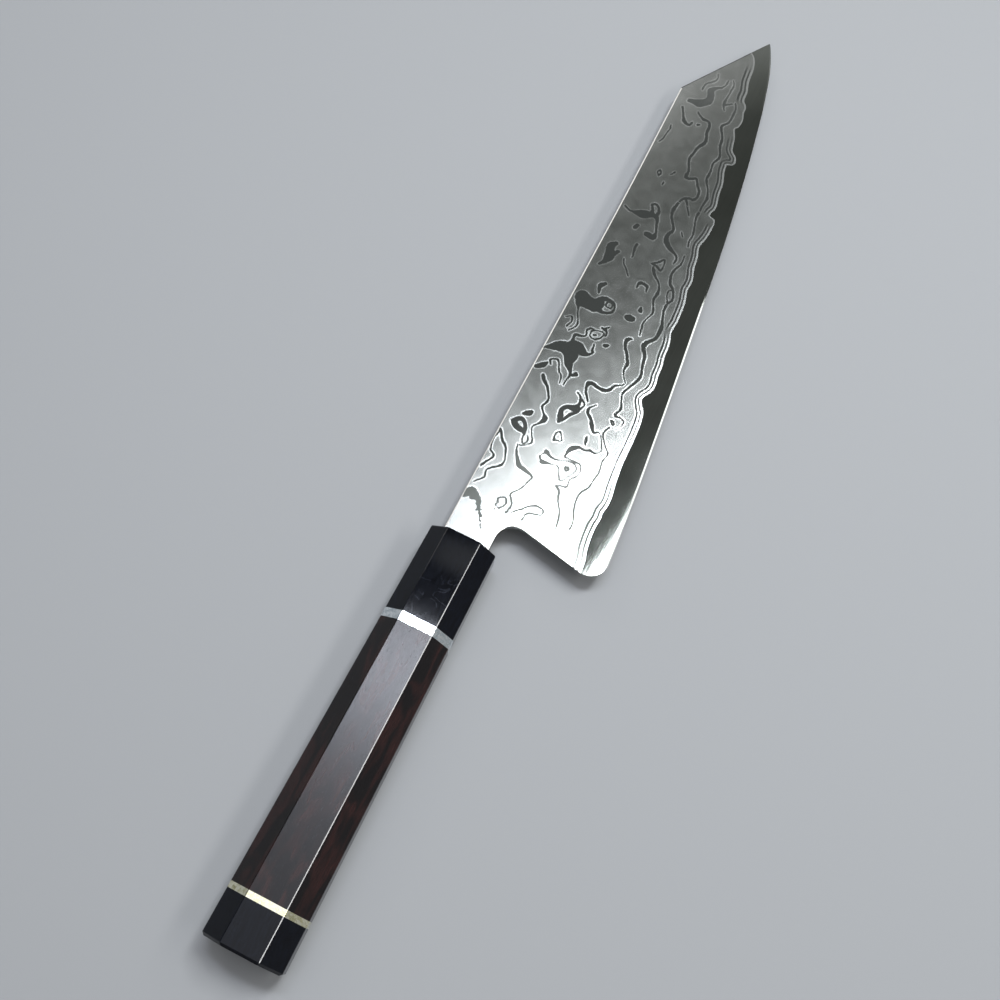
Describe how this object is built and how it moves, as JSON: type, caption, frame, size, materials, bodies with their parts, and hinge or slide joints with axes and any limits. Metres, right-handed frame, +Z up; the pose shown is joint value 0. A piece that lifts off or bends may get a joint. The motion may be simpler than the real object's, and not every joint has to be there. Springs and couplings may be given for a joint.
{
  "type": "kiritsuke kitchen knife",
  "caption": "Kitchen knife with a laminated, wavy-patterned blade, clipped tip and rounded choil, in a tapered octagonal handle with horn ends and metal spacers.",
  "frame": {"origin": "under the middle of the whole knife, on the surface that it lies on", "axes": "the knife lies on its left side: +X runs along it from the butt to the tip, +Y from the cutting edge to the spine, +Z up, square to the handle's lower facet"},
  "size_m": [0.3512, 0.054, 0.0209],
  "materials": {
    "core_steel": "satin",
    "patterned_steel": "etched layered pattern",
    "bedding": "matt",
    "dowel_wood": "raw",
    "horn": "polished",
    "spacer_metal": "polished",
    "ebony": "oiled satin"
  },
  "bodies": {
    "root": {"core_steel": "core_steel", "right_cladding": "patterned_steel", "left_cladding": "patterned_steel", "tang_bedding": "bedding", "tang_dowel": "dowel_wood", "ferrule": "horn", "front_spacer": "spacer_metal", "handle_body": "ebony", "rear_spacer": "spacer_metal", "butt_dowel": "dowel_wood", "end_cap": "horn"}
  },
  "joints": []
}
